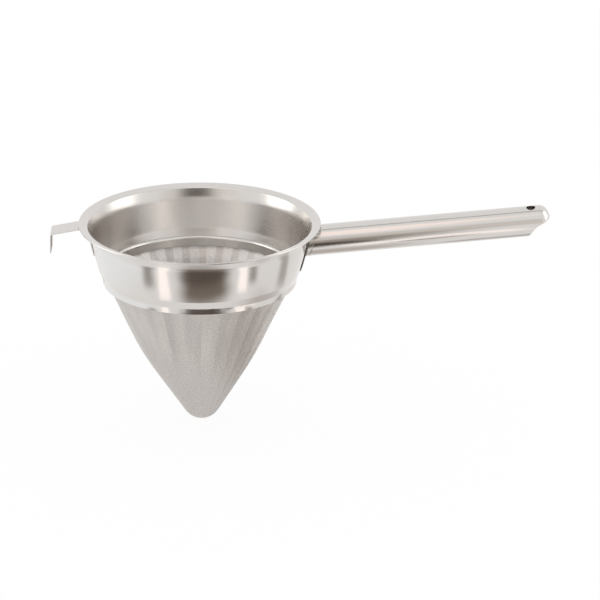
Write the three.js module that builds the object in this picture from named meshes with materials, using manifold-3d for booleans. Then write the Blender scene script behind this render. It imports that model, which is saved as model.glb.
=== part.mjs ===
// A conical fine mesh strainer in stainless steel: a flanged bowl, a pleated wire cloth cone held
// in the bowl's collar by an inner clamp ring, a tubular handle on a saddle, and a pot hook.
// Millimetres. The origin is the centre of the rim's top, +Z is up and the handle points along +X.
// Depths are measured down from the rim's top, and the cone's own depths from the collar's foot.
import * as THREE from 'three';
import { mergeVertices } from 'three/addons/utils/BufferGeometryUtils.js';
import Module from 'manifold-3d';

const wasm = await Module();
wasm.setup();

// General
const clearance = 0.3;
const roundSteps = 60;
const tubeSteps = 36;
const holeSteps = 24;
const domeSteps = 6;

// Bowl sheet, measured on its inner face
const rimDiameter = 203;
const bowlSheet = 0.8;
const flangeWidth = 7.4;
const flangeSlope = 17;
const flangeBend = 2;
const hemWidth = 4;
const bandTaper = 21;
const bandDepth = 7.9;
const bandBend = 12;
const wallTaper = 10.6;
const wallDepth = 26.1;
const shoulderTaper = 15.5;
const shoulderDepth = 10.7;
const ledgeTaper = 19.2;
const creaseTaper = 19.8;
const collarTaper = 5;
const collarHeight = 5;

// Wire cloth cone, measured on its outer face
const clothThickness = 1.4;
const clothGrip = 4.6;
const pleatCount = 31;
const pleatTurn = 4.3;
const pleatRelief = 0.8;
const pleatEdgeShare = 0.1;
const pleatLapShare = 0.48;
const neckRadius = 74.1;
const neckDepth = 8.4;
const kneeRadius = 48.9;
const kneeDepth = 64.4;
const kneeBend = 18.6;
const tipRadius = 17.4;
const coneDepth = 126.9;

// Clamp ring
const ringSheet = 0.8;
const ringHeight = 6;
const ringSetback = 1.3;
const ringFlare = 2.4;

// Tack welds between the ring's lip and the shoulder
const tackCount = 3;
const tackFirst = 125;
const tackWidth = 2.8;
const tackHeight = 1.7;

// Handle
const saddleOverhang = 0.15;
const saddleSheet = 0.8;
const saddleTop = 4.2;
const saddleBottom = 40;
const handleTilt = 5.22;
const handleDrop = 17.3;
const handleLength = 203.9;
const tubeDiameter = 25.7;
const tubeWall = 1;
const noseLength = 9.2;
const noseFullness = 0.93;
const collarLip = 0.25;
const socketCollar = 2.2;
const socketGroove = 1.3;
const socketReach = 16;
const socketWall = 1.2;
const scoopLength = 20.8;
const scoopRise = 4.1;
const scoopPullOut = 8.5;
const scoopPullUp = 13.3;
const scoopPullBack = 14.2;
const scoopPullDown = 6;
const holeDiameter = 7.5;
const holeSetback = 15.9;
const holeTurn = 8.5;

// Pot hook
const hookWidth = 21.4;
const hookSheet = 1;
const hookTabTop = 9;
const hookTabBottom = 26.7;
const hookRoot = 4.1;
const hookCrest = 3.1;
const hookReach = 23.4;
const hookDroop = 10.6;
const hookLegBottom = 24.3;
const hookLegLean = 1.5;
const hookRootBend = 3;
const hookBend = 2.4;

const rimRadius = rimDiameter / 2;
const tubeRadius = tubeDiameter / 2;
const saddleWidth = tubeDiameter + 2 * saddleOverhang;
const rad = THREE.MathUtils.degToRad;
const at = (x, y) => new THREE.Vector2(x, y);

// Points of an arc from one angle to another, both in radians
function arc(centre, radius, from, to, steps) {
  const points = [];
  for (let i = 0; i <= steps; i += 1) {
    const angle = from + ((to - from) * i) / steps;
    points.push(at(centre.x + radius * Math.cos(angle), centre.y + radius * Math.sin(angle)));
  }
  return points;
}

// A downward bow that starts at one taper and ends at another, both in degrees, as deep as asked
function bowed(start, fromTaper, toTaper, depth, steps) {
  const [from, to] = [rad(fromTaper), rad(toTaper)];
  const radius = depth / (Math.sin(to) - Math.sin(from));
  const centre = at(start.x - radius * Math.cos(from), start.y + radius * Math.sin(from));
  return arc(centre, radius, -from, -to, steps);
}

// A run of straight lines whose inner corners are rounded to the radius beside each
function roundedPath(corners, steps) {
  const points = [corners[0].point];
  for (let i = 1; i < corners.length - 1; i += 1) {
    const { point, radius } = corners[i];
    const back = corners[i - 1].point.clone().sub(point).normalize();
    const ahead = corners[i + 1].point.clone().sub(point).normalize();
    const half = Math.acos(THREE.MathUtils.clamp(back.dot(ahead), -1, 1)) / 2;
    const reach = radius / Math.tan(half);
    const start = point.clone().addScaledVector(back, reach);
    const end = point.clone().addScaledVector(ahead, reach);
    const curve = new THREE.QuadraticBezierCurve(start, point, end);
    points.push(...curve.getPoints(steps));
  }
  points.push(corners[corners.length - 1].point);
  return points;
}

// The same line moved sideways: a positive distance moves it to the right of its direction
function offsetLine(points, distance) {
  return points.map((point, i) => {
    const before = points[Math.max(i - 1, 0)];
    const after = points[Math.min(i + 1, points.length - 1)];
    const into = point.clone().sub(before).normalize();
    const out = after.clone().sub(point).normalize();
    if (i === 0) into.copy(out);
    if (i === points.length - 1) out.copy(into);
    const side = into.clone().add(out).normalize();
    const normal = at(side.y, -side.x);
    const stretch = distance / Math.max(into.dot(side), 0.2);
    return point.clone().addScaledVector(normal, stretch);
  });
}

// Where a downward line of points crosses a height
function radiusAt(line, z) {
  for (let i = 1; i < line.length; i += 1) {
    const [a, b] = [line[i - 1], line[i]];
    if ((a.y - z) * (b.y - z) <= 0 && a.y !== b.y) {
      return THREE.MathUtils.lerp(a.x, b.x, (z - a.y) / (b.y - a.y));
    }
  }
  throw new Error(`no crossing at ${z}`);
}

// A closed outline turned round the Z axis
function turned(outline, steps = roundSteps) {
  const area = THREE.ShapeUtils.area(outline);
  const loop = area > 0 ? [...outline] : [...outline].reverse();
  loop.push(loop[0].clone());
  return new THREE.LatheGeometry(loop, steps).rotateX(Math.PI / 2);
}

// A flat outline in X and Z, as thick as asked across Y
function plate(outline, width) {
  const shape = new THREE.Shape(outline);
  const geometry = new THREE.ExtrudeGeometry(shape, { depth: width, bevelEnabled: false });
  return geometry.translate(0, 0, -width / 2).rotateX(Math.PI / 2);
}

function toSolid(geometry) {
  const bare = geometry.clone();
  bare.deleteAttribute('normal');
  bare.deleteAttribute('uv');
  const merged = mergeVertices(bare, 1e-4);
  const index = merged.index.array;
  const corners = [];
  for (let i = 0; i < index.length; i += 3) {
    const [a, b, c] = [index[i], index[i + 1], index[i + 2]];
    if (a !== b && b !== c && c !== a) corners.push(a, b, c);
  }
  return new wasm.Manifold(new wasm.Mesh({
    numProp: 3,
    vertProperties: new Float32Array(merged.attributes.position.array),
    triVerts: new Uint32Array(corners),
  }));
}

function toGeometry(solid) {
  const mesh = solid.getMesh();
  const geometry = new THREE.BufferGeometry();
  geometry.setAttribute('position', new THREE.Float32BufferAttribute(mesh.vertProperties, 3));
  geometry.setIndex(new THREE.Uint32BufferAttribute(mesh.triVerts, 1));
  geometry.computeVertexNormals();
  return geometry;
}

function steel(color, roughness) {
  return new THREE.MeshStandardMaterial({ color, roughness, metalness: 1 });
}

function named(name, geometry, material) {
  const mesh = new THREE.Mesh(geometry, material);
  mesh.name = name;
  return mesh;
}

const strainer = new THREE.Group();

// Bowl: the inner face runs from the flange down a flared band, a bowed wall, the shoulder and the
// collar
const slope = rad(flangeSlope);
const hemRadius = bowlSheet;
const hemCentre = at(rimRadius - hemRadius, -hemRadius);
const flangeTop = at(hemCentre.x - hemRadius * Math.sin(slope), hemCentre.y + hemRadius * Math.cos(slope));
const bandRadius = rimRadius - flangeWidth;
const bandTop = at(bandRadius, flangeTop.y - (flangeTop.x - bandRadius) * Math.tan(slope));
const bandFoot = at(bandTop.x - bandDepth * Math.tan(rad(bandTaper)), bandTop.y - bandDepth);
const wall = bowed(bandFoot, wallTaper, shoulderTaper, wallDepth, 4);
const wallFoot = wall[wall.length - 1];
const shoulder = bowed(wallFoot, ledgeTaper, creaseTaper, shoulderDepth, 3);
const crease = shoulder[shoulder.length - 1];
const collarFoot = at(crease.x - collarHeight * Math.tan(rad(collarTaper)), crease.y - collarHeight);
const lowerRun = [...wall.slice(1), ...shoulder.slice(1), collarFoot];
const belowFlange = [bandTop, bandFoot, ...lowerRun];
const upperRun = roundedPath([
  { point: flangeTop },
  { point: bandTop, radius: flangeBend },
  { point: bandFoot, radius: bandBend },
  { point: lowerRun[0] },
], 3);
const bowlInner = [...upperRun, ...lowerRun.slice(1)];
const bowlOuter = offsetLine(bowlInner, -bowlSheet);

// The flange's edge is folded under, so it is two sheets thick and round
function bowlGeometry() {
  const across = at(Math.cos(slope), Math.sin(slope));
  const above = at(-across.y, across.x);
  const edge = arc(hemCentre, hemRadius, slope - Math.PI / 2, slope + Math.PI / 2, 4).slice(0, -1);
  const hemInner = edge[0].clone().addScaledVector(across, -hemWidth);
  const hemRoot = hemInner.clone().addScaledVector(above, bowlSheet);
  return turned([...bowlInner, ...bowlOuter.slice(1).reverse(), hemRoot, hemInner, ...edge]);
}
strainer.add(named('bowl', bowlGeometry(), steel(0xd6d2ce, 0.18)));

// Cone: the cloth is gripped along the collar, draws in to a neck below it, then runs to a soft knee
// and on to a round tip
const coneFoot = collarFoot.y - coneDepth;
const tipCentre = at(0, coneFoot + tipRadius);
const neck = at(neckRadius, collarFoot.y - neckDepth);
const knee = at(kneeRadius, collarFoot.y - kneeDepth);
const gripLine = offsetLine([crease, collarFoot], clearance);
const gripTop = at(radiusAt(gripLine, collarFoot.y + clothGrip), collarFoot.y + clothGrip);
const gripFoot = gripLine[1];

function coneProfile() {
  const toTip = tipCentre.clone().sub(knee);
  const turn = Math.atan2(toTip.y, toTip.x) + Math.asin(tipRadius / toTip.length());
  const run = Math.sqrt(toTip.lengthSq() - tipRadius ** 2);
  const touch = at(knee.x + run * Math.cos(turn), knee.y + run * Math.sin(turn));
  const upper = knee.clone().addScaledVector(neck.clone().sub(knee).normalize(), kneeBend);
  const lower = knee.clone().addScaledVector(touch.clone().sub(knee).normalize(), kneeBend);
  const bend = new THREE.QuadraticBezierCurve(upper, knee, lower).getPoints(3);
  const from = Math.atan2(touch.y - tipCentre.y, touch.x);
  const tip = arc(tipCentre, tipRadius, from, -Math.PI / 2, 4);
  return [gripTop, gripFoot, neck, ...bend, ...tip.slice(0, -1)];
}

// Each pleat is a fold laid flat: it steps out at its edge, slopes back to the cloth, then lies plain
const pleatShape = [
  { share: 0, rise: 0 },
  { share: pleatEdgeShare, rise: 1 },
  { share: pleatLapShare, rise: 0 },
];

function coneGeometry() {
  const outer = coneProfile();
  const inner = offsetLine(outer, clothThickness);
  const columns = pleatCount * pleatShape.length;
  const positions = [];
  const triangles = [];
  const reliefAt = (i) => {
    if (i < 2) return 0;
    return pleatRelief * THREE.MathUtils.smoothstep(outer[i].x, tipRadius / 2, kneeRadius);
  };
  const addRing = (point, sink) => {
    for (let column = 0; column < columns; column += 1) {
      const { share, rise } = pleatShape[column % pleatShape.length];
      const pleat = Math.floor(column / pleatShape.length);
      const angle = ((pleat + share) / pleatCount) * 2 * Math.PI + rad(pleatTurn);
      const radius = point.x - sink * (1 - rise);
      positions.push(radius * Math.cos(angle), radius * Math.sin(angle), point.y);
    }
  };
  outer.forEach((point, i) => addRing(point, reliefAt(i)));
  [...inner].reverse().forEach((point) => addRing(point, 0));
  const rings = outer.length + inner.length;
  const outerTip = positions.length / 3;
  positions.push(0, 0, coneFoot, 0, 0, coneFoot + clothThickness);
  for (let ring = 0; ring < rings; ring += 1) {
    const next = (ring + 1) % rings;
    for (let column = 0; column < columns; column += 1) {
      const beside = (column + 1) % columns;
      const [a, b] = [ring * columns + column, ring * columns + beside];
      const [c, d] = [next * columns + column, next * columns + beside];
      if (ring === outer.length - 1) {
        triangles.push(a, outerTip, b, c, d, outerTip + 1);
      } else {
        triangles.push(a, c, b, b, c, d);
      }
    }
  }
  const geometry = new THREE.BufferGeometry();
  geometry.setAttribute('position', new THREE.Float32BufferAttribute(positions, 3));
  geometry.setIndex(triangles);
  geometry.computeVertexNormals();
  return geometry;
}
strainer.add(named('mesh_cone', coneGeometry(), steel(0xb9b3ac, 0.55)));

// Clamp ring: a band that holds the cloth against the collar, with a lip flared out at the top
const ringFace = offsetLine([crease, collarFoot], 2 * clearance + clothThickness + ringSheet);
const ringFoot = at(radiusAt(ringFace, collarFoot.y + ringSetback), collarFoot.y + ringSetback);
const ringTop = at(ringFoot.x + ringHeight * Math.tan(rad(collarTaper)), ringFoot.y + ringHeight);
const flareCentre = at(ringTop.x + ringFlare, ringTop.y);
const ringInner = [ringFoot, ...arc(flareCentre, ringFlare, Math.PI, Math.PI / 2, 4)];
const ringOuter = offsetLine(ringInner, ringSheet);
const lipEdge = ringInner[ringInner.length - 1];
strainer.add(named('clamp_ring', turned([...ringInner, ...ringOuter.reverse()]), steel(0xd2cdc8, 0.2)));

// Tack welds that bridge the gap between the ring's lip and the shoulder
const tackLevel = lipEdge.y - ringSheet / 2;
const tackInner = lipEdge.x + clearance;
const tackOuter = radiusAt(bowlInner, tackLevel - tackHeight / 2) - clearance;
for (let i = 0; i < tackCount; i += 1) {
  const angle = rad(tackFirst + (i * 360) / tackCount);
  const radius = (tackInner + tackOuter) / 2;
  const bead = new THREE.SphereGeometry(0.5, 12, 8).scale(tackOuter - tackInner, tackWidth, tackHeight);
  const tack = named(`ring_tack_weld_${i + 1}`, bead, steel(0xbdb7b0, 0.35));
  tack.position.set(radius * Math.cos(angle), radius * Math.sin(angle), tackLevel);
  tack.rotation.z = angle;
  strainer.add(tack);
}

// The line of a face that lies outside the wall, as far out from its seat as asked
function onWall(distance) {
  return offsetLine(belowFlange, -(bowlSheet + clearance + distance));
}

// A sheet that lies on the outside of the bowl's wall, cut to a width on one side of the bowl
function wallTab(top, bottom, width, sheet, side) {
  const face = onWall(0);
  const back = onWall(sheet);
  const cut = (line) => [
    at(radiusAt(line, -top), -top),
    ...line.filter((point) => point.y < -top && point.y > -bottom),
    at(radiusAt(line, -bottom), -bottom),
  ];
  const shell = toSolid(turned([...cut(face), ...cut(back).reverse()]));
  const block = new THREE.BoxGeometry(rimRadius, width, bottom + clearance);
  block.translate((side * rimRadius) / 2, 0, -(bottom + clearance) / 2);
  return shell.intersect(toSolid(block));
}

// Saddle: a curved plate on the wall that carries the handle
const saddle = wallTab(saddleTop, saddleBottom, saddleWidth, saddleSheet, 1);
strainer.add(named('handle_saddle', toGeometry(saddle), steel(0xcac5bf, 0.25)));

// The handle's own frame starts on the saddle's face, with +X along the tube
const seatLine = onWall(saddleSheet);
const seatRadius = radiusAt(seatLine, -handleDrop);
const seatTaper = Math.atan2(seatRadius - radiusAt(seatLine, -handleDrop - tubeRadius), tubeRadius);
const handle = new THREE.Group();
handle.position.set(seatRadius, 0, -handleDrop);
handle.rotation.y = -rad(handleTilt);
handle.updateMatrixWorld();
strainer.add(handle);

// Everything on the bowl side of a plane that is parallel to the seat, in the handle's frame
function bowlSide(distance) {
  const size = 4 * tubeDiameter;
  const block = new THREE.BoxGeometry(size, size, size);
  return toSolid(block.translate(distance - size / 2, 0, 0).rotateY(seatTaper + rad(handleTilt)));
}

// A body of revolution about the handle's axis: points hold the distance along it and the radius
function along(points) {
  return toSolid(turned(points.map(([x, radius]) => at(radius, x)), tubeSteps).rotateY(Math.PI / 2));
}

// A sleeve about the handle's axis that starts inside the bowl and ends as far along as asked
function sleeve(end, inside, outside) {
  return along([[-tubeRadius, inside], [end, inside], [end, outside], [-tubeRadius, outside]]);
}

// Socket: a collar against the saddle with a spigot that the tube slides over
function socketGeometry() {
  const spigotRadius = tubeRadius - tubeWall - clearance;
  const bore = spigotRadius - socketWall;
  const collarRadius = tubeRadius + collarLip;
  const collar = sleeve(tubeRadius, bore, collarRadius).intersect(bowlSide(socketCollar));
  const spigot = sleeve(socketReach, bore, spigotRadius);
  const clear = onWall(saddleSheet + clearance);
  const core = turned([at(0, clear[0].y), ...clear, at(0, clear[clear.length - 1].y)]);
  core.applyMatrix4(handle.matrixWorld.clone().invert());
  return toGeometry(collar.add(spigot).subtract(toSolid(core)));
}
handle.add(named('handle_socket', socketGeometry(), steel(0xcdc8c3, 0.25)));

// Tube: a domed nose with a hanging hole on top and a scooped end below
function tubeGeometry() {
  const inside = tubeRadius - tubeWall;
  const noseStart = handleLength - noseLength;
  const dome = (radius, length) => {
    const points = [];
    for (let i = 0; i < domeSteps; i += 1) {
      const angle = (i * Math.PI) / (2 * domeSteps);
      points.push([
        noseStart + length * Math.sin(angle) ** noseFullness,
        radius * Math.cos(angle) ** noseFullness,
      ]);
    }
    points.push([noseStart + length, 0]);
    return points;
  };
  const body = along([
    [-tubeRadius, tubeRadius],
    ...dome(tubeRadius, noseLength),
    ...dome(inside, noseLength - tubeWall).reverse(),
    [-tubeRadius, inside],
  ]);
  const below = -2 * tubeRadius;
  const scoopStart = at(handleLength - scoopLength, -tubeRadius);
  const scoopEnd = at(handleLength, scoopRise);
  const sweep = new THREE.CubicBezierCurve(
    scoopStart,
    at(scoopStart.x + scoopPullOut, scoopStart.y + scoopPullUp),
    at(scoopEnd.x - scoopPullBack, scoopEnd.y - scoopPullDown),
    scoopEnd,
  );
  const past = at(handleLength + noseLength, scoopRise);
  const cut = [at(scoopStart.x, below), ...sweep.getPoints(14), past, at(past.x, below)];
  const scoop = plate(cut, 2 * tubeDiameter);
  const hole = new THREE.CylinderGeometry(holeDiameter / 2, holeDiameter / 2, tubeDiameter, holeSteps);
  hole.translate(0, tubeRadius, 0).rotateX(Math.PI / 2 + rad(holeTurn));
  hole.translate(handleLength - holeSetback, 0, 0);
  const end = bowlSide(socketCollar + socketGroove);
  return toGeometry(body.subtract(end).subtract(toSolid(scoop)).subtract(toSolid(hole)));
}
handle.add(named('handle_tube', tubeGeometry(), steel(0xd0cac4, 0.22)));

// Hook: one strap with a tab on the wall, a run out under the flange and a leg over a pot's rim
function hookGeometry() {
  const tab = wallTab(hookTabTop, hookTabBottom, hookWidth, hookSheet, -1);
  const seat = (depth) => at(radiusAt(onWall(0), -depth), -depth);
  const tip = rimRadius + hookReach;
  const tipLevel = -hookCrest - hookReach * Math.tan(rad(hookDroop));
  const lean = (hookLegBottom + tipLevel) * Math.tan(rad(hookLegLean));
  const upper = roundedPath([
    { point: seat(hookTabTop + hookSheet) },
    { point: seat(hookRoot), radius: hookRootBend },
    { point: at(rimRadius, -hookCrest), radius: hookRootBend },
    { point: at(tip, tipLevel), radius: hookBend },
    { point: at(tip + lean, -hookLegBottom) },
  ], 4);
  const outline = [...upper, ...offsetLine(upper, hookSheet).reverse()].map((p) => at(-p.x, p.y));
  return toGeometry(tab.add(toSolid(plate(outline, hookWidth))));
}
strainer.add(named('hook_strap', hookGeometry(), steel(0xd2cecb, 0.25)));

export default strainer;
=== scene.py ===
import math

import bmesh
import bpy
from mathutils import Matrix, Vector


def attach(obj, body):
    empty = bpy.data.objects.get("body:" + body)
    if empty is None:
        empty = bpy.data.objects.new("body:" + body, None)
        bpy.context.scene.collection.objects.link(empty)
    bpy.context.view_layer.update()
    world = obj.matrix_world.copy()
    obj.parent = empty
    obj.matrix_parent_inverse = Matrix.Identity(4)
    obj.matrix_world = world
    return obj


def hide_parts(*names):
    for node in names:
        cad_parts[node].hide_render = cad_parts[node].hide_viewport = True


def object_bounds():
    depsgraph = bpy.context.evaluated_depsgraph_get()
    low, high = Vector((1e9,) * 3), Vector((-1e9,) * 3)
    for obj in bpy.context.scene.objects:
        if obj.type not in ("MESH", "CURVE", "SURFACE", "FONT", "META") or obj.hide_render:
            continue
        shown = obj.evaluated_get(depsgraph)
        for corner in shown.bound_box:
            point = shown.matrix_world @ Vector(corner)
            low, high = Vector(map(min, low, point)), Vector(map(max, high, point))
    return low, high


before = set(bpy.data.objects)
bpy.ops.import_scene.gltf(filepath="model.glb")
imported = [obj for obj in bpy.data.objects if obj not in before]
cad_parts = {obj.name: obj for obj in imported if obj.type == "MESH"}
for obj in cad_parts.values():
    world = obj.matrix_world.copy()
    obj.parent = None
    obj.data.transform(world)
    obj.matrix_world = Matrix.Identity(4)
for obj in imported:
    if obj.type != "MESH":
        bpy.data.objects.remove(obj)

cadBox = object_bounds()
scene = bpy.context.scene
scene.view_settings.view_transform = "Standard"
scene.cycles.glossy_bounces = 10  # light runs round inside the polished bowl
mm = 0.001  # pieces are drawn in millimetres and scaled once, when they are placed


# outlines: points hold the distance from an axis and the height

def point(across, height):
    return Vector((across, height))


def arc(centre, radius, start, end, steps):
    angles = [math.radians(start + (end - start) * i / steps) for i in range(steps + 1)]
    return [centre + radius * point(math.cos(a), math.sin(a)) for a in angles]


def bowed(start, first, last, depth, steps):
    # a downward bow that starts at one taper and ends at another, both in degrees
    radius = depth / (math.sin(math.radians(last)) - math.sin(math.radians(first)))
    centre = start - radius * point(math.cos(math.radians(first)), -math.sin(math.radians(first)))
    return arc(centre, radius, -first, -last, steps)


def bend(before, corner, after, radius, steps):
    # the corner of two straight runs, rounded
    back = (before - corner).normalized()
    ahead = (after - corner).normalized()
    half = back.angle(ahead) / 2
    middle = corner + (back + ahead).normalized() * radius / math.sin(half)
    start = corner + back * radius / math.tan(half)
    swing = math.pi - 2 * half
    turn = swing if back.x * ahead.y - back.y * ahead.x < 0 else -swing
    spoke = start - middle
    return [middle + Matrix.Rotation(turn * i / steps, 2) @ spoke for i in range(steps + 1)]


def beside(line, distance):
    # the line moved to its right, so that a sheet keeps its thickness round the bends
    moved = []
    for i, here in enumerate(line):
        into = here - line[i - 1] if i else line[1] - here
        onward = line[i + 1] - here if i + 1 < len(line) else into
        side = (into.normalized() + onward.normalized()).normalized()
        stretch = distance / max(side.dot(into.normalized()), 0.2)
        moved.append(here + point(side.y, -side.x) * stretch)
    return moved


def cutAt(line, height):
    # where a line crosses a height
    for a, b in zip(line, line[1:]):
        if (a.y - height) * (b.y - height) <= 0 and a.y != b.y:
            return a.lerp(b, (height - a.y) / (b.y - a.y))
    raise ValueError(f"the line doesn't reach {height}")


def cubic(a, b, c, d, steps):
    def at(t):
        return a * (1 - t) ** 3 + b * 3 * t * (1 - t) ** 2 + c * 3 * t * t * (1 - t) + d * t ** 3
    return [at(i / steps) for i in range(steps + 1)]


# mesh making

def loopOf(bm, points):
    verts = [bm.verts.new(p) for p in points]
    return verts + [bm.edges.new(pair) for pair in zip(verts, verts[1:] + verts[:1])]


def spun(outline, steps, axis=(0, 0, 1), start=0, sweep=360):
    # a closed outline in the XZ plane, turned round an axis through the origin
    bm = bmesh.new()
    across = Vector((1, 0, 0)) if axis[2] else Vector((0, 0, 1))
    rise = Vector(axis)
    geom = loopOf(bm, [across * p.x + rise * p.y for p in outline])
    bmesh.ops.rotate(bm, verts=bm.verts, cent=(0, 0, 0), matrix=Matrix.Rotation(math.radians(start), 3, axis))
    full = sweep == 360
    angle = math.radians(sweep)
    bmesh.ops.spin(bm, geom=geom, cent=(0, 0, 0), axis=axis, angle=angle, steps=steps, use_merge=full)
    if not full:
        bmesh.ops.holes_fill(bm, edges=[e for e in bm.edges if e.is_boundary], sides=0)
    return closed(bm)


def closed(bm):
    bmesh.ops.remove_doubles(bm, verts=bm.verts, dist=1e-4)
    bmesh.ops.recalc_face_normals(bm, faces=bm.faces)
    return bm


def sliced(bm, place, normal):
    # cuts away what lies beyond a plane, and closes the cut
    geom = bm.verts[:] + bm.edges[:] + bm.faces[:]
    cut = bmesh.ops.bisect_plane(bm, geom=geom, plane_co=place, plane_no=normal, clear_outer=True)["geom_cut"]
    bmesh.ops.edgenet_fill(bm, edges=[e for e in cut if isinstance(e, bmesh.types.BMEdge)])
    return closed(bm)


def extruded(bm, face, width):
    # a flat face drawn out along Y
    grown = bmesh.ops.extrude_face_region(bm, geom=[face])["geom"]
    far = [g for g in grown if isinstance(g, bmesh.types.BMVert)]
    bmesh.ops.translate(bm, vec=(0, width, 0), verts=far)


def objectOf(name, bm):
    mesh = bpy.data.meshes.new(name)
    bm.to_mesh(mesh)
    bm.free()
    piece = bpy.data.objects.new(name, mesh)
    scene.collection.objects.link(piece)
    return piece


def settled(piece):
    # the piece with its modifiers made part of its mesh
    shaped = piece.evaluated_get(bpy.context.evaluated_depsgraph_get())
    old = piece.data
    piece.modifiers.clear()
    piece.data = bpy.data.meshes.new_from_object(shaped)
    bpy.data.meshes.remove(old)


def carved(piece, *cutters):
    for bm in cutters:
        cutter = objectOf("cutter", bm)
        cut = piece.modifiers.new("cut", "BOOLEAN")
        cut.object = cutter
        cut.operation = "DIFFERENCE"
        cut.solver = "EXACT"
        bpy.context.view_layer.update()
        settled(piece)
        bpy.data.objects.remove(cutter)


def placed(piece, node, material, edge=0.0, sharp=35):
    # smooth shading, soft edges, the finish, and the place in the frame
    piece.data.transform(Matrix.Scale(mm, 4))
    piece.data.shade_smooth()
    piece.data.set_sharp_from_angle(angle=math.radians(sharp))
    if edge:
        soft = piece.modifiers.new("softEdges", "BEVEL")
        soft.width = edge * mm
        soft.segments = 3
        soft.limit_method = "ANGLE"
        soft.angle_limit = math.radians(sharp)
        soft.harden_normals = True
    piece.data.materials.clear()
    piece.data.materials.append(material)
    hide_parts(node)
    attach(piece, "root")
    print("placed", piece.name, len(piece.data.polygons), "faces")
    return piece


# shader maths

class Wire:
    # one socket: plain maths on it adds Math nodes
    def __init__(self, finish, socket):
        self.finish = finish
        self.socket = socket

    def out(self, name):
        return Wire(self.finish, self.socket.node.outputs[name])

    def maths(self, operation, first, second):
        return self.finish.add("ShaderNodeMath", {"operation": operation}, {0: first, 1: second})

    def __add__(self, other):
        return self.maths("ADD", self, other)

    __radd__ = __add__

    def __sub__(self, other):
        return self.maths("SUBTRACT", self, other)

    def __rsub__(self, other):
        return self.maths("SUBTRACT", other, self)

    def __mul__(self, other):
        return self.maths("MULTIPLY", self, other)

    __rmul__ = __mul__

    def __truediv__(self, other):
        return self.maths("DIVIDE", self, other)

    def __pow__(self, other):
        return self.maths("POWER", self, other)


class Finish:
    # a material's or the world's nodes
    def __init__(self, owner):
        owner.use_nodes = True
        self.owner = owner
        self.tree = owner.node_tree
        self.tree.nodes.clear()

    def add(self, kind, settings=None, inputs=None, output=0):
        node = self.tree.nodes.new(kind)
        for key, value in (settings or {}).items():
            setattr(node, key, value)
        for key, value in (inputs or {}).items():
            if isinstance(value, Wire):
                self.tree.links.new(value.socket, node.inputs[key])
            else:
                node.inputs[key].default_value = value
        return Wire(self, node.outputs[output]) if node.outputs else None

    def ramp(self, value, low, high, first=0.0, last=1.0):
        inputs = {"Value": value, "From Min": low, "From Max": high, "To Min": first, "To Max": last}
        return self.add("ShaderNodeMapRange", {"interpolation_type": "SMOOTHSTEP"}, inputs)

    def mix(self, share, first, second):
        return self.add("ShaderNodeMix", {"data_type": "RGBA"}, {0: share, 6: first, 7: second}, 2)

    def vector(self, x, y, z):
        return self.add("ShaderNodeCombineXYZ", None, {0: x, 1: y, 2: z})

    def noise(self, vector, scale, detail=2.0):
        return self.add("ShaderNodeTexNoise", None, {"Vector": vector, "Scale": scale, "Detail": detail})

    def place(self):
        spot = self.add("ShaderNodeTexCoord", None, None, "Object")
        parts = self.add("ShaderNodeSeparateXYZ", None, {0: spot})
        return spot, parts, parts.out("Y"), parts.out("Z")


def rgba(colour):
    return (*colour, 1.0)


def steelFinish(name, look, grainVector):
    # polished steel with a fine grain: a hint of it in the gloss and the bump, and faint clouds in the tint
    finish = Finish(bpy.data.materials.new(name))
    spot, x, y, z = finish.place()
    grain = finish.noise(grainVector(finish, x, y, z), 1.0, 3.0)
    clouds = finish.noise(spot, look["cloudScale"], 4.0)
    rough = look["roughness"] + (grain - 0.5) * look["grainGloss"] + (clouds - 0.5) * look["cloudGloss"]
    if "inside" in look:
        inner = finish.add("ShaderNodeAttribute", {"attribute_name": "inside"}, None, "Fac")
        rough = rough + inner * look["inside"]
    tint = finish.mix(clouds, rgba(look["tintLow"]), rgba(look["tintHigh"]))
    bump = finish.add("ShaderNodeBump", None, {
        "Strength": look["grainBump"], "Distance": look["grainDepth"] * mm, "Height": grain,
    })
    surface = finish.add("ShaderNodeBsdfPrincipled", None, {
        "Base Color": tint, "Metallic": 1.0, "Roughness": rough, "Normal": bump,
    })
    finish.add("ShaderNodeOutputMaterial", None, {"Surface": surface})
    return finish.owner


def turnedGrain(scale, drift):
    # grain that runs round the Z axis
    def vector(finish, x, y, z):
        radius = (x * x + y * y) ** 0.5
        angle = finish.add("ShaderNodeMath", {"operation": "ARCTAN2"}, {0: y, 1: x})
        return finish.vector(radius * scale, angle * drift, z * scale)
    return vector


def drawnGrain(scale, drift):
    # grain that runs along the X axis
    def vector(finish, x, y, z):
        return finish.vector(x * drift, y * scale, z * scale)
    return vector


steelLook = {
    "tintLow": (0.64, 0.615, 0.59),
    "tintHigh": (0.68, 0.66, 0.64),
    "roughness": 0.16,
    "grainGloss": 0.06,
    "cloudGloss": 0.05,
    "cloudScale": 40.0,
    "grainBump": 0.08,
    "grainDepth": 0.02,
}
bowlLook = {**steelLook, "roughness": 0.13, "inside": 0.09}  # the inside is satin
bowlFinish = steelFinish("bowlSteel", bowlLook, turnedGrain(2500.0, 1.5))
ringFinish = steelFinish("ringSteel", steelLook, turnedGrain(2500.0, 1.5))
tubeFinish = steelFinish("tubeSteel", steelLook, drawnGrain(2500.0, 30.0))
strapFinish = steelFinish("strapSteel", {**steelLook, "roughness": 0.3}, drawnGrain(1800.0, 60.0))
bracketFinish = steelFinish("bracketSteel", {**steelLook, "roughness": 0.24}, drawnGrain(1800.0, 200.0))
weldLook = {**steelLook, "roughness": 0.34, "grainBump": 0.4}
weldFinish = steelFinish("weldSteel", weldLook, drawnGrain(700.0, 700.0))

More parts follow.
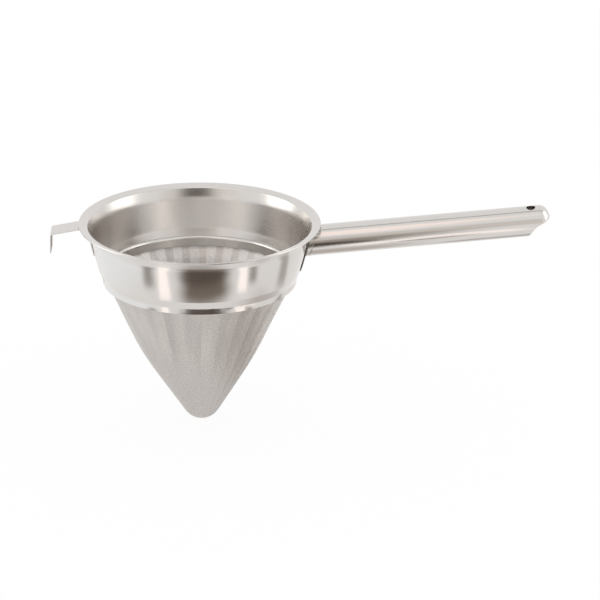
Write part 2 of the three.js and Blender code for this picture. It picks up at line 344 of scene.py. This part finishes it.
clothLook = {
    "pitch": 0.5,  # mm from wire to wire
    "wire": 0.32,  # mm across
    "tipWire": 0.44,  # towards the tip, where the cloth is drawn close
    "tint": (0.615, 0.585, 0.56),
    "uneven": 0.3,  # share by which the tint varies
    "paintedSheenBands": 0.2,  # painted sheen and shade: share by which broad light and dark bands that run to the tip lift and lower the tint
    "tipShade": 0.06,  # the same for the darker tip
    "tipFade": (0.05, 0.11),  # metres of cloth from the tip, between which the tip's look fades out
    "unevenScale": 620.0,
    "paintedSheenScale": 7.0,
    "wireEdge": 0.05,  # pitches over which a wire's edge is soft
    "weaveBump": 0.5,
    "roughness": 0.42,
}


def clothFinish():
    # plain weave drawn on the cloth's own flat map, whose unit is a metre
    finish = Finish(bpy.data.materials.new("wireCloth"))
    flat = finish.add("ShaderNodeUVMap", {"uv_map": "flatCloth"})
    parts = finish.add("ShaderNodeSeparateXYZ", None, {0: flat})
    pitch = clothLook["pitch"] * mm
    reach = (parts * parts + parts.out("Y") * parts.out("Y")) ** 0.5 + mm
    near, far = clothLook["tipFade"]
    fading = finish.ramp(reach, near, far)
    half = finish.ramp(reach, near, far, clothLook["tipWire"], clothLook["wire"]) / (2 * clothLook["pitch"])

    def strand(along):
        # distance from the nearest wire's middle, in pitches
        return finish.add("ShaderNodeMath", {"operation": "PINGPONG"}, {0: along / pitch, 1: 0.5})

    warp = strand(parts.out("X"))
    weft = strand(parts.out("Y"))
    nearest = finish.add("ShaderNodeMath", {"operation": "MINIMUM"}, {0: warp, 1: weft})
    edge = clothLook["wireEdge"]
    cover = finish.ramp(nearest, half - edge, half + edge, 1.0, 0.0)
    weave = {"Strength": clothLook["weaveBump"], "Distance": clothLook["wire"] * mm, "Height": cover}
    bump = finish.add("ShaderNodeBump", None, weave)
    fine = finish.noise(flat, clothLook["unevenScale"], 2.0)
    # painted sheen and shade: broad light and dark bands in the tint that run to the tip and fade out near it
    ray = finish.vector(parts / reach, parts.out("Y") / reach, reach * 2)
    sheenNoise = finish.noise(ray, clothLook["paintedSheenScale"], 1.0)
    paintedSheen = (sheenNoise - 0.5) * fading * clothLook["paintedSheenBands"]
    share = 0.5 + (fine - 0.5) * clothLook["uneven"] + paintedSheen - (1 - fading) * clothLook["tipShade"]
    tint = finish.mix(share, rgba((0, 0, 0)), rgba([2 * c for c in clothLook["tint"]]))
    surface = finish.add("ShaderNodeBsdfPrincipled", None, {
        "Base Color": tint,
        "Metallic": 1.0,
        "Roughness": clothLook["roughness"],
        "Alpha": cover,
        "Normal": bump,
    })
    finish.add("ShaderNodeOutputMaterial", None, {"Surface": surface})
    return finish.owner


clothWire = clothFinish()
print("finishes made")

# camera
view = {
    "pivotHeight": 0.37 * mm,  # on the bowl's axis
    "distance": 2.2,
    "azimuth": 0.25,
    "elevation": 19.68,
    "aimRight": 83.78 * mm,
    "aimUp": -66.70 * mm,
    "roll": 0.577,
    "lens": 157.34,
    "sensor": 36.0,
    "clipEnd": 50.0,
}


def addCamera():
    azimuth = math.radians(view["azimuth"])
    elevation = math.radians(view["elevation"])
    pivot = Vector((0, 0, view["pivotHeight"]))
    back = Vector((
        math.sin(azimuth) * math.cos(elevation),
        -math.cos(azimuth) * math.cos(elevation),
        math.sin(elevation),
    ))
    right = Vector((math.cos(azimuth), math.sin(azimuth), 0))
    spot = pivot + back * view["distance"]
    aim = pivot + right * view["aimRight"] + back.cross(right) * view["aimUp"]
    roll = Matrix.Rotation(math.radians(view["roll"]), 3, "Z")
    turn = (aim - spot).to_track_quat("-Z", "Y").to_matrix() @ roll
    camera = bpy.data.objects.new("camera", bpy.data.cameras.new("camera"))
    camera.data.lens = view["lens"]
    camera.data.sensor_width = view["sensor"]
    camera.data.clip_end = view["clipEnd"]
    camera.matrix_world = Matrix.LocRotScale(spot, turn, None)
    scene.collection.objects.link(camera)
    scene.camera = camera


addCamera()

# bowl: one sheet from the folded edge of the flange down to the collar
bowl = {
    "rim": 101.5,  # radius
    "sheet": 0.8,
    "flangeWidth": 7.4,
    "flangeSlope": 17,
    "flangeBend": 2.0,
    "hemWidth": 4.0,
    "bandTaper": 21,  # the flared band below the flange
    "bandDepth": 7.9,
    "bandBend": 30.0,
    "wallTaper": 10.6,  # at the wall's top
    "wallDepth": 26.1,
    "shoulderTaper": 15.5,
    "ledgeTaper": 19.2,
    "shoulderDepth": 10.7,
    "outerDrop": 4.2,  # the shoulder starts this much lower on the outside
    "outerBend": 3.0,
    "creaseTaper": 19.8,
    "creaseBend": 0.7,
    "collarTaper": 5,
    "collarHeight": 5.0,
    "steps": 288,
    "hemSteps": 12,
    "bendSteps": 8,
    "wallSteps": 16,
    "waistStep": 3,  # the wall's step where the bend below the band ends
    "shoulderSteps": 12,
    "creaseSteps": 4,
    "softEdge": 0.18,
}
gap = 0.3  # between pieces that touch


def bowlLines():
    # both faces, from the flange's edge to the collar's foot
    slope = math.radians(bowl["flangeSlope"])
    hemCentre = point(bowl["rim"] - bowl["sheet"], -bowl["sheet"])
    edge = hemCentre + bowl["sheet"] * point(-math.sin(slope), math.cos(slope))
    bandTop = point(bowl["rim"] - bowl["flangeWidth"], 0)
    bandTop.y = edge.y - (edge.x - bandTop.x) * math.tan(slope)
    bandFoot = bandTop - bowl["bandDepth"] * point(math.tan(math.radians(bowl["bandTaper"])), 1)
    wall = bowed(bandFoot, bowl["wallTaper"], bowl["shoulderTaper"], bowl["wallDepth"], bowl["wallSteps"])
    lowerWall = wall[bowl["waistStep"]:]
    steps = bowl["shoulderSteps"]
    shoulder = bowed(wall[-1], bowl["ledgeTaper"], bowl["creaseTaper"], bowl["shoulderDepth"], steps)
    crease = shoulder[-1]
    foot = crease - bowl["collarHeight"] * point(math.tan(math.radians(bowl["collarTaper"])), 1)
    flare = bend(edge, bandTop, bandFoot, bowl["flangeBend"], bowl["bendSteps"])
    waist = bend(bandTop, bandFoot, lowerWall[0], bowl["bandBend"], bowl["bendSteps"])
    turn = bend(shoulder[-2], crease, foot, bowl["creaseBend"], bowl["creaseSteps"])
    outerFoot = wall[-1] - bowl["outerDrop"] * point(math.tan(math.radians(bowl["shoulderTaper"])), 1)
    outerLedge = bend(wall[-1], outerFoot, crease, bowl["outerBend"], bowl["creaseSteps"])
    outerTurn = bend(outerFoot, crease, foot, bowl["creaseBend"], bowl["creaseSteps"])
    outerShoulder = [outerLedge[-1].lerp(outerTurn[0], i / steps) for i in range(1, steps)]
    outerRun = [edge, *flare, *waist, *lowerWall, *outerLedge, *outerShoulder, *outerTurn, foot]
    return {
        "hemCentre": hemCentre,
        "inner": [edge, *flare, *waist, *lowerWall, *shoulder[1:-1], *turn, foot],
        "outer": beside(outerRun, -bowl["sheet"])[1:],
        "wall": [bandTop, *wall, *shoulder[1:], foot],
        "crease": crease,
        "foot": foot,
    }


lines = bowlLines()


def makeBowl():
    slope = bowl["flangeSlope"]
    across = point(math.cos(math.radians(slope)), math.sin(math.radians(slope)))
    above = point(-across.y, across.x)
    hem = arc(lines["hemCentre"], bowl["sheet"], slope - 90, slope + 90, bowl["hemSteps"])[:-1]
    hemEnd = hem[0] - across * bowl["hemWidth"]
    hemRoot = hemEnd + above * bowl["sheet"]
    outline = lines["inner"] + lines["outer"][::-1] + [hemRoot, hemEnd] + hem
    bm = spun(outline, bowl["steps"])
    inside = bm.faces.layers.float.new("inside")
    for face in bm.faces:
        outward = face.calc_center_median().xy.to_3d()
        face[inside] = 1.0 if face.normal.dot(outward) < 0 else 0.0
    piece = objectOf("bowlShell", bm)
    placed(piece, "bowl", bowlFinish, bowl["softEdge"])


makeBowl()

# wire cloth: a round of cloth gathered in flat pleats to a cone with a round tip
cloth = {
    "grip": 4.6,  # held between collar and clamp ring
    "stack": 1.4,  # three layers, pressed
    "pleats": 31,
    "pleatTurn": 4.3,  # degrees from the handle's side to the first pleat
    "crowding": 3.5,  # degrees that the pleats are drawn towards the back
    "neckRadius": 74.1,
    "neckDepth": 8.4,  # depths are below the collar's foot
    "kneeRadius": 48.9,
    "kneeDepth": 64.4,
    "kneeBend": 18.6,
    "tipRadius": 17.4,
    "depth": 126.9,
    "mostLap": 0.49,  # of a pleat's pitch
    "sway": 0.9,  # how far the soft cone leans to and fro
    "swayEnd": 0.7,  # share of the depth where it has leaned back
    "kneeSteps": 12,
    "tipSteps": 16,
    "rows": 60,
    "outerLayer": 0.15,  # from the cone's outer face
    "layerStep": 0.05,
}


def coneLine():
    # the cone's outer face, from the grip's top to the tip
    foot = lines["foot"]
    collar = beside([lines["crease"], foot], gap)
    top = cutAt(collar, foot.y + cloth["grip"])
    neck = point(cloth["neckRadius"], foot.y - cloth["neckDepth"])
    knee = point(cloth["kneeRadius"], foot.y - cloth["kneeDepth"])
    tipCentre = point(0, foot.y - cloth["depth"] + cloth["tipRadius"])
    toTip = tipCentre - knee
    turn = math.atan2(toTip.y, toTip.x) + math.asin(cloth["tipRadius"] / toTip.length)
    run = math.sqrt(toTip.length_squared - cloth["tipRadius"] ** 2)
    touch = knee + run * point(math.cos(turn), math.sin(turn))
    upper = knee + (neck - knee).normalized() * cloth["kneeBend"]
    lower = knee + (touch - knee).normalized() * cloth["kneeBend"]
    soft = cubic(upper, upper.lerp(knee, 2 / 3), lower.lerp(knee, 2 / 3), lower, cloth["kneeSteps"])
    start = math.degrees(math.atan2(touch.y - tipCentre.y, touch.x))
    tip = arc(tipCentre, cloth["tipRadius"], start, -90, cloth["tipSteps"])
    return [top, collar[1], neck, *soft, *tip]


def lengths(line):
    # how far each point lies from the line's end
    runs = [0.0]
    for a, b in zip(line[::-1], line[-2::-1]):
        runs.append(runs[-1] + (a - b).length)
    return runs[::-1]


def makeCloth():
    line = coneLine()
    reach = lengths(line)
    inward = beside(line, 1.0)

    def station(fromTip):
        # the cone's face and its inward step, at a distance from the tip
        for i in range(len(line) - 1):
            if reach[i + 1] <= fromTip:
                t = (reach[i] - fromTip) / max(reach[i] - reach[i + 1], 1e-9)
                face = line[i].lerp(line[i + 1], t)
                return face, inward[i].lerp(inward[i + 1], t) - face
        return line[-1], inward[-1] - line[-1]

    outerLayer = cloth["outerLayer"]
    middleLayer = outerLayer + cloth["layerStep"]
    innerLayer = middleLayer + cloth["layerStep"]
    # one pleat: how far along its pitch, in laps past a whole pitch, and how deep
    pleat = [
        (0.0, 0.0, outerLayer),
        (0.0, 0.5, outerLayer),
        (0.0, 1.0, outerLayer),
        (0.35, 0.65, outerLayer + 0.25 * cloth["layerStep"]),
        (0.7, 0.3, innerLayer - 0.5 * cloth["layerStep"]),
        (1.0, 0.0, innerLayer),
        (1.0, 0.5, innerLayer),
        (1.0, 1.0, innerLayer),
        (1.0, 1.0, middleLayer),
        (1.0, 0.5, middleLayer),
        (1.0, 0.0, middleLayer),
    ]
    columns = cloth["pleats"] * len(pleat)
    rows = cloth["rows"]
    bm = bmesh.new()
    bmesh.ops.create_grid(bm, x_segments=columns, y_segments=rows, size=0.5)
    flat = {}
    pitch = 2 * math.pi / cloth["pleats"]
    for vert in bm.verts:
        column = round((vert.co.x + 0.5) * columns)
        fromTip = reach[0] * (vert.co.y + 0.5)
        face, step = station(fromTip)
        # the spare cloth at this distance lies in the lap
        lap = max(fromTip / max(face.x, 1e-6) - 1, 0) / 2 if fromTip > 0.1 else 0.0
        lap = min(lap, cloth["mostLap"])
        number, fold = divmod(column, len(pleat))
        whole, part, depth = pleat[fold]
        along = whole + part * lap
        runs = [0.0]
        for a, b in zip(pleat, pleat[1:] + [(1.0, 0.0, outerLayer)]):
            runs.append(runs[-1] + abs((b[0] + b[1] * lap) - (a[0] + a[1] * lap)))
        ease = min(1.0, fromTip / cloth["tipRadius"])
        here = face + step * depth * ease
        angle = (number + along) * pitch + math.radians(cloth["pleatTurn"])
        angle += math.radians(cloth["crowding"]) * math.cos(angle)
        share = max(lines["foot"].y - here.y, 0) / cloth["depth"]
        sway = -cloth["sway"] * math.sin(math.pi * share / cloth["swayEnd"])
        vert.co = (here.x * math.cos(angle) + sway, here.x * math.sin(angle), here.y)
        flatAngle = (number + runs[fold] / runs[-1]) * pitch
        flat[vert] = (fromTip * math.cos(flatAngle) * mm, fromTip * math.sin(flatAngle) * mm)
    layer = bm.loops.layers.uv.new("flatCloth")
    for face in bm.faces:
        for loop in face.loops:
            loop[layer].uv = flat[loop.vert]
    bmesh.ops.remove_doubles(bm, verts=bm.verts, dist=1e-4)
    piece = objectOf("wireClothCone", bm)
    placed(piece, "mesh_cone", clothWire, sharp=30)
    cut = 2 * reach[0] * mm
    area = math.pi * cut * cut / 4


makeCloth()

# clamp ring: a band with its lip flared out
ring = {"sheet": 0.8, "height": 6.0, "setback": 1.3, "flare": 2.4, "flareSteps": 12, "softEdge": 0.2}


def ringLine():
    face = beside([lines["crease"], lines["foot"]], 2 * gap + cloth["stack"] + ring["sheet"])
    foot = cutAt(face, lines["foot"].y + ring["setback"])
    top = foot + ring["height"] * point(math.tan(math.radians(bowl["collarTaper"])), 1)
    return [foot, *arc(top + point(ring["flare"], 0), ring["flare"], 180, 90, ring["flareSteps"])]


def makeRing():
    inner = ringLine()
    outer = beside(inner, ring["sheet"])
    piece = objectOf("clampRing", spun(inner + outer[::-1], bowl["steps"]))
    placed(piece, "clamp_ring", ringFinish, ring["softEdge"])


makeRing()

# tack welds: small uneven beads between the ring's lip and the shoulder
tack = {"count": 3, "first": 125, "width": 2.8, "height": 1.7, "waves": 5, "waveHeight": 0.12}


def makeTacks():
    lip = ringLine()[-1]
    level = lip.y - ring["sheet"] / 2
    near = lip.x + gap
    far = cutAt(lines["inner"], level - tack["height"] / 2).x - gap
    for i in range(tack["count"]):
        bm = bmesh.new()
        bmesh.ops.create_icosphere(bm, subdivisions=4, radius=0.5)
        for vert in bm.verts:
            swell = math.sin(tack["waves"] * vert.co.y * math.pi + i) * tack["waveHeight"]
            vert.co *= 1 - abs(swell) * (0.5 - vert.co.z)
        bmesh.ops.scale(bm, vec=(far - near, tack["width"], tack["height"]), verts=bm.verts)
        bmesh.ops.translate(bm, vec=((near + far) / 2, 0, level), verts=bm.verts)
        turn = Matrix.Rotation(math.radians(tack["first"] + 360 * i / tack["count"]), 3, "Z")
        bmesh.ops.rotate(bm, verts=bm.verts, cent=(0, 0, 0), matrix=turn)
        name = f"ring_tack_weld_{i + 1}"
        placed(objectOf(f"tackWeld{i + 1}", bm), name, weldFinish)


makeTacks()

# handle: a saddle on the wall, a socket on the saddle and a tube over the socket
handle = {
    "saddleSheet": 0.8,
    "saddleTop": 4.2,
    "saddleBottom": 40.0,
    "saddleOverhang": 0.15,
    "tilt": 5.22,
    "drop": 17.3,
    "length": 203.9,
    "tube": 12.85,  # radius
    "tubeWall": 1.0,
    "nose": 9.2,
    "noseFullness": 0.93,
    "collarLip": 0.25,
    "collar": 2.2,
    "groove": 1.3,
    "spigot": 16.0,
    "spigotWall": 1.2,
    "scoop": 20.8,
    "scoopRise": 4.1,
    "scoopStartPull": (8.5, 13.3),
    "scoopEndPull": (14.2, 6.0),
    "hole": 3.75,  # radius
    "holeSetback": 15.9,
    "holeTurn": 8.5,
    "softEdge": 0.2,
    "socketEdge": 0.15,
    "saddleSweep": 24,  # degrees of the wall, before the saddle's sides are cut
    "saddleSteps": 32,
    "steps": 128,
    "domeSteps": 16,
    "scoopRings": 7,
    "ringSpacing": 3,
    "scoopSteps": 24,
    "holeSteps": 48,
}


def onWall(distance):
    # the line of a face that lies outside the wall, this far from its seat
    return beside(lines["wall"], -(bowl["sheet"] + gap + distance))


def wallTab(top, bottom, sheet):
    def run(line):
        inside = [p for p in line if -bottom < p.y < -top]
        return [cutAt(line, -top), *inside, cutAt(line, -bottom)]
    return run(onWall(0)) + run(onWall(sheet))[::-1]


def makeSaddle():
    outline = wallTab(handle["saddleTop"], handle["saddleBottom"], handle["saddleSheet"])
    half = handle["tube"] + handle["saddleOverhang"]
    sweep = handle["saddleSweep"]
    bm = spun(outline, handle["saddleSteps"], start=-sweep / 2, sweep=sweep)
    sliced(bm, (0, half, 0), (0, 1, 0))
    sliced(bm, (0, -half, 0), (0, -1, 0))
    piece = objectOf("handleSaddle", bm)
    placed(piece, "handle_saddle", bracketFinish, handle["softEdge"])


makeSaddle()


def handleFrame():
    seat = cutAt(onWall(handle["saddleSheet"]), -handle["drop"])
    return Matrix.Translation((seat.x, 0, seat.y)) @ Matrix.Rotation(-math.radians(handle["tilt"]), 4, "Y")


def wallPlane(distance):
    # a plane parallel to the wall at the seat, in the handle's frame: a point and a normal
    seat = onWall(handle["saddleSheet"])
    upper = cutAt(seat, -handle["drop"])
    lower = cutAt(seat, -handle["drop"] - handle["tube"])
    lean = math.atan2(upper.x - lower.x, handle["tube"]) + math.radians(handle["tilt"])
    normal = Vector((math.cos(lean), 0, -math.sin(lean)))
    return normal * distance, normal


def sleeve(start, end, inside, outside):
    # a ring along the handle's axis
    outline = [point(inside, start), point(inside, end), point(outside, end), point(outside, start)]
    return spun(outline, handle["steps"], (1, 0, 0))


def makeSocket():
    inside = handle["tube"] - handle["tubeWall"] - gap
    bore = inside - handle["spigotWall"]
    start = -handle["tube"]
    collar = sleeve(start, handle["tube"], bore, handle["tube"] + handle["collarLip"])
    bm = sliced(collar, *wallPlane(handle["collar"]))
    spigot = objectOf("spigot", sleeve(start, handle["spigot"], bore, inside))
    piece = objectOf("handleSocket", bm)
    join = piece.modifiers.new("join", "BOOLEAN")
    join.object = spigot
    join.operation = "UNION"
    join.solver = "EXACT"
    bpy.context.view_layer.update()
    settled(piece)
    bpy.data.objects.remove(spigot)
    piece.data.transform(handleFrame())
    face = onWall(handle["saddleSheet"] + gap)
    core = spun([point(0, face[0].y), *face, point(0, face[-1].y)], bowl["steps"])
    carved(piece, core)
    placed(piece, "handle_socket", bracketFinish, handle["socketEdge"])


makeSocket()


def makeTube():
    outer = handle["tube"]
    inner = outer - handle["tubeWall"]
    end = handle["length"]
    noseStart = end - handle["nose"]

    def dome(radius, length):
        full = handle["noseFullness"]
        steps = handle["domeSteps"]
        turns = [math.radians(90 * i / steps) for i in range(steps)]
        curve = [point(radius * math.cos(a) ** full, noseStart + length * math.sin(a) ** full) for a in turns]
        return [*curve, point(0, noseStart + length)]

    firstRing = noseStart - handle["scoop"]
    rings = [firstRing + handle["ringSpacing"] * i for i in range(handle["scoopRings"])]
    outside = [point(outer, -outer), *[point(outer, x) for x in rings], *dome(outer, handle["nose"])]
    hollow = dome(inner, handle["nose"] - handle["tubeWall"])
    inside = [point(inner, -outer), *[point(inner, x) for x in rings], *hollow]
    bm = spun(outside + inside[::-1], handle["steps"], (1, 0, 0))
    place, normal = wallPlane(handle["collar"] + handle["groove"])
    sliced(bm, place, -normal)
    piece = objectOf("handleTube", bm)
    # the underside is scooped out towards the nose
    below = -2 * outer
    start = point(end - handle["scoop"], -outer)
    rise = point(end, handle["scoopRise"])
    startPull = start + point(*handle["scoopStartPull"])
    endPull = rise - point(*handle["scoopEndPull"])
    sweep = cubic(start, startPull, endPull, rise, handle["scoopSteps"])
    past = end + handle["nose"]
    profile = [point(start.x, below), *sweep, point(past, rise.y), point(past, below)]
    scoop = bmesh.new()
    verts = [scoop.verts.new((p.x, -2 * outer, p.y)) for p in profile]
    face = scoop.faces.new(verts)
    extruded(scoop, face, 4 * outer)
    closed(scoop)
    hole = bmesh.new()
    radius = handle["hole"]
    bmesh.ops.create_cone(
        hole, cap_ends=True, segments=handle["holeSteps"], radius1=radius, radius2=radius, depth=2 * outer,
    )
    bmesh.ops.translate(hole, vec=(0, 0, outer), verts=hole.verts)
    lean = Matrix.Rotation(math.radians(handle["holeTurn"]), 3, "X")
    bmesh.ops.rotate(hole, verts=hole.verts, cent=(0, 0, 0), matrix=lean)
    bmesh.ops.translate(hole, vec=(end - handle["holeSetback"], 0, 0), verts=hole.verts)
    carved(piece, scoop, hole)
    piece.data.transform(handleFrame())
    placed(piece, "handle_tube", tubeFinish, handle["softEdge"])


makeTube()

# pot hook: a strap with a tab on the wall, a run out under the flange and a leg that drops
hook = {
    "width": 21.4,
    "sheet": 1.0,
    "tabTop": 9.0,
    "tabBottom": 26.7,
    "root": 4.1,
    "crest": 3.1,
    "reach": 23.4,
    "droop": 10.6,
    "legBottom": 24.3,
    "legLean": 1.5,
    "rootBend": 3.0,
    "bend": 2.4,
    "softEdge": 0.22,
    "rootSteps": 6,
    "crestSteps": 4,
    "tipSteps": 8,
    "across": 12,
}


def hookLine():
    # the strap's upper face, from the tab's foot to the leg's end
    wall = onWall(0)
    tab = [cutAt(wall, -hook["tabBottom"]), cutAt(wall, -hook["tabTop"])]
    root = cutAt(wall, -hook["root"])
    crest = point(bowl["rim"], -hook["crest"])
    tip = crest + hook["reach"] * point(1, -math.tan(math.radians(hook["droop"])))
    leg = point(0, -hook["legBottom"])
    leg.x = tip.x + (tip.y - leg.y) * math.tan(math.radians(hook["legLean"]))
    rootTurn = bend(tab[1], root, crest, hook["rootBend"], hook["rootSteps"])
    crestTurn = bend(root, crest, tip, hook["rootBend"], hook["crestSteps"])
    tipTurn = bend(crest, tip, leg, hook["bend"], hook["tipSteps"])
    return [*tab, *rootTurn, *crestTurn, *tipTurn, leg]


def makeHook():
    line = hookLine()
    under = beside(line, hook["sheet"])
    bm = bmesh.new()
    outline = line + under[::-1]
    face = bm.faces.new([bm.verts.new((-p.x, -hook["width"] / 2, p.y)) for p in outline])
    extruded(bm, face, hook["width"])
    sides = [e for e in bm.edges if abs(e.verts[0].co.y - e.verts[1].co.y) > hook["sheet"]]
    bmesh.ops.subdivide_edges(bm, edges=sides, cuts=hook["across"], use_grid_fill=True)
    # the tab lies on the round wall
    for vert in bm.verts:
        if vert.co.z < 0 and vert.co.x > -bowl["rim"] + 1:
            flatRadius = -vert.co.x
            vert.co.x = -math.sqrt(flatRadius ** 2 - vert.co.y ** 2)
    closed(bm)
    piece = objectOf("hookStrap", bm)
    placed(piece, "hook_strap", strapFinish, hook["softEdge"])


makeHook()

# stage: a pale floor under the tip, a white surround, and cards that only the steel's reflections show
stage = {
    "floorSize": 12.0,
    "floorDrop": 0.4 * mm,  # below the tip
    "shadow": 0.07,
    "floorSeen": (1.0, 1.0, 1.0),
    "floorMirrored": (1.0, 0.985, 0.975),
    "floorMatt": (0.98, 0.98, 0.98),
    "cardStep": 0.5 * mm,  # from layer to layer of the cards on the floor
}
floorLevel = cadBox[0].z - stage["floorDrop"]


def layer(number):
    # the height of a card on the floor: a higher layer covers the lower ones
    return floorLevel + number * stage["cardStep"]


# each card: centre, size, the way it faces, its turn in degrees, its light
# and the shares of its width and height that fade at each side
cards = {
    "darkFloor": (
        (0.022, -0.228, layer(2)), (0.25, 0.144), (0, 0, 1), 0, (0.22, 0.18, 0.15), (0.28, 0.31),
    ),
    "darkFar": (
        (0.02, -0.3075, layer(3)), (0.3, 0.185), (0, 0, 1), 0, (0.13, 0.105, 0.09), (0.3, 0.16),
    ),
    "darkStand": ((0.09, -0.31, -0.105), (0.17, 0.15), (0, 1, 0), 0, (0.05, 0.04, 0.03), (0.4, 0.35)),
    "brownStand": ((0.13, -0.33, -0.04), (0.3, 0.28), (0, 1, 0), 0, (0.4, 0.36, 0.32), (0.4, 0.4)),
    "darkFigure": ((0.013, -0.125, 0.095), (0.135, 0.13), (0, 1, 0), 0, (0.06, 0.045, 0.035), (0.3, 0.2)),
    "leftStreak": (
        (-0.1613, -0.2171, layer(4)), (0.056, 0.175), (0, 0, 1), -37, (1.55, 1.45, 1.4), (0.2, 0.1),
    ),
    "rightStreak": (
        (0.184, -0.195, layer(4)), (0.05, 0.135), (0, 0, 1), 41, (1.55, 1.45, 1.4), (0.2, 0.15),
    ),
    "rightPanel": (
        (0.265, -0.275, layer(2)), (0.11, 0.25), (0, 0, 1), 0, (1.4, 1.3, 1.27), (0.13, 0.1),
    ),
    "leftFlank": (
        (-0.212, -0.162, layer(2)), (0.09, 0.11), (0, 0, 1), -50, (0.4, 0.37, 0.35), (0.45, 0.25),
    ),
    "rightFlank": (
        (0.226, -0.163, layer(3)), (0.07, 0.11), (0, 0, 1), 51, (0.4, 0.37, 0.35), (0.45, 0.25),
    ),
    "leftFloor": (
        (-0.4, -0.05, layer(1)), (0.5, 0.8), (0, 0, 1), 0, (1.1, 1.13, 1.15), (0.3, 0.2),
    ),
    "warmFloor": (
        (0.125, -0.02, layer(1)), (0.21, 0.22), (0, 0, 1), 0, (0.66, 0.61, 0.58), (0.35, 0.35),
    ),
    "handleShade": (
        (0.29, 0.035, layer(1)), (0.2, 0.1), (0, 0, 1), 0, (0.56, 0.53, 0.51), (0.35, 0.35),
    ),
    "nearStand": ((0.13, -0.2, -0.0975), (0.13, 0.075), (0, 1, 0), 0, (0.1, 0.08, 0.065), (0.4, 0.25)),
    "frontWall": ((0, -1.2, 0.325), (2.4, 0.85), (0, 1, 0), 0, (0.82, 0.78, 0.74), (0.1, 0.1)),
    "frontLeft": ((-0.75, -1.15, 0.3), (0.8, 0.6), (0, 1, 0), 0, (1.05, 1.0, 0.97), (0.2, 0.1)),
    "frontRight": ((0.85, -1.15, 0.3), (0.7, 0.6), (0, 1, 0), 0, (0.95, 0.9, 0.87), (0.2, 0.1)),
    "softbox": ((-0.2, -0.575, 1.0), (1.0, 0.75), (0.17, 0.49, -0.85), 0, (1.35, 1.2, 1.15), (0.1, 0.1)),
    "overhead": ((0, 0.09, 1.0), (2.0, 0.18), (0, 0, -1), 0, (0.4, 0.38, 0.36), (0.05, 0.4)),
    "leftLight": ((-0.9, 0.13, 0.45), (0.75, 0.9), (1, 0, 0), 0, (2.4, 2.33, 2.27), (0.25, 0.15)),
    "rightLight": ((0.9, 0.05, 0.45), (0.75, 0.9), (-1, 0, 0), 0, (1.9, 1.85, 1.8), (0.25, 0.15)),
    "backCard": ((-0.02, 0.25, -0.13), (0.25, 0.1), (0, -1, 0), 0, (0.3, 0.27, 0.25), (0.1, 0.1)),
}


def stageFloor():
    bm = bmesh.new()
    bmesh.ops.create_grid(bm, x_segments=1, y_segments=1, size=stage["floorSize"] / 2)
    bmesh.ops.translate(bm, vec=(0, 0, floorLevel), verts=bm.verts)
    floor = objectOf("floor", bm)
    finish = Finish(bpy.data.materials.new("paleFloor"))
    camera = finish.add("ShaderNodeLightPath", None, None, "Is Camera Ray")
    mirrored = camera.out("Is Glossy Ray")
    seen = camera * (1 - stage["shadow"]) + mirrored + camera.out("Is Transmission Ray")
    matt = finish.add("ShaderNodeBsdfDiffuse", None, {"Color": rgba(stage["floorMatt"])})
    light = finish.mix(mirrored, rgba(stage["floorSeen"]), rgba(stage["floorMirrored"]))
    glow = finish.add("ShaderNodeEmission", None, {"Color": light, "Strength": 1.0})
    lit = finish.add("ShaderNodeMixShader", None, {0: seen, 1: matt, 2: glow})
    clear = finish.add("ShaderNodeBsdfTransparent")
    under = finish.add("ShaderNodeNewGeometry", None, None, "Backfacing")
    surface = finish.add("ShaderNodeMixShader", None, {0: under, 1: lit, 2: clear})
    finish.add("ShaderNodeOutputMaterial", None, {"Surface": surface})
    floor.data.materials.append(finish.owner)


def stageCard(name, centre, size, facing, turn, light, fade):
    bm = bmesh.new()
    bm.loops.layers.uv.new("cardFace")
    bmesh.ops.create_grid(bm, x_segments=1, y_segments=1, size=0.5, calc_uvs=True)
    bmesh.ops.scale(bm, vec=(*size, 1), verts=bm.verts)
    spin = Matrix.Rotation(math.radians(turn), 3, "Z").to_quaternion()
    stand = Vector(facing).to_track_quat("Z", "Y") @ spin
    bmesh.ops.transform(bm, matrix=Matrix.LocRotScale(Vector(centre), stand, None), verts=bm.verts)
    card = objectOf(name, bm)
    card.visible_camera = False
    card.visible_diffuse = False
    card.visible_transmission = False
    card.visible_shadow = False
    finish = Finish(bpy.data.materials.new(name))
    face = finish.add("ShaderNodeUVMap", {"uv_map": "cardFace"})
    across = finish.add("ShaderNodeSeparateXYZ", None, {0: face})
    fromSide = finish.add("ShaderNodeMath", {"operation": "PINGPONG"}, {0: across, 1: 0.5})
    fromEnd = finish.add("ShaderNodeMath", {"operation": "PINGPONG"}, {0: across.out("Y"), 1: 0.5})
    cover = finish.ramp(fromSide, 0.0, fade[0]) * finish.ramp(fromEnd, 0.0, fade[1])
    glow = finish.add("ShaderNodeEmission", None, {"Color": rgba(light), "Strength": 1.0})
    clear = finish.add("ShaderNodeBsdfTransparent")
    surface = finish.add("ShaderNodeMixShader", None, {0: cover, 1: clear, 2: glow})
    finish.add("ShaderNodeOutputMaterial", None, {"Surface": surface})
    card.data.materials.append(finish.owner)


def surround():
    world = bpy.data.worlds.new("studio")
    scene.world = world
    finish = Finish(world)
    back = finish.add("ShaderNodeBackground", None, {"Color": rgba((1, 1, 1)), "Strength": 1.0})
    finish.add("ShaderNodeOutputWorld", None, {"Surface": back})


stageFloor()
for cardName, card in cards.items():
    stageCard(cardName, *card)
surround()
print("stage set")
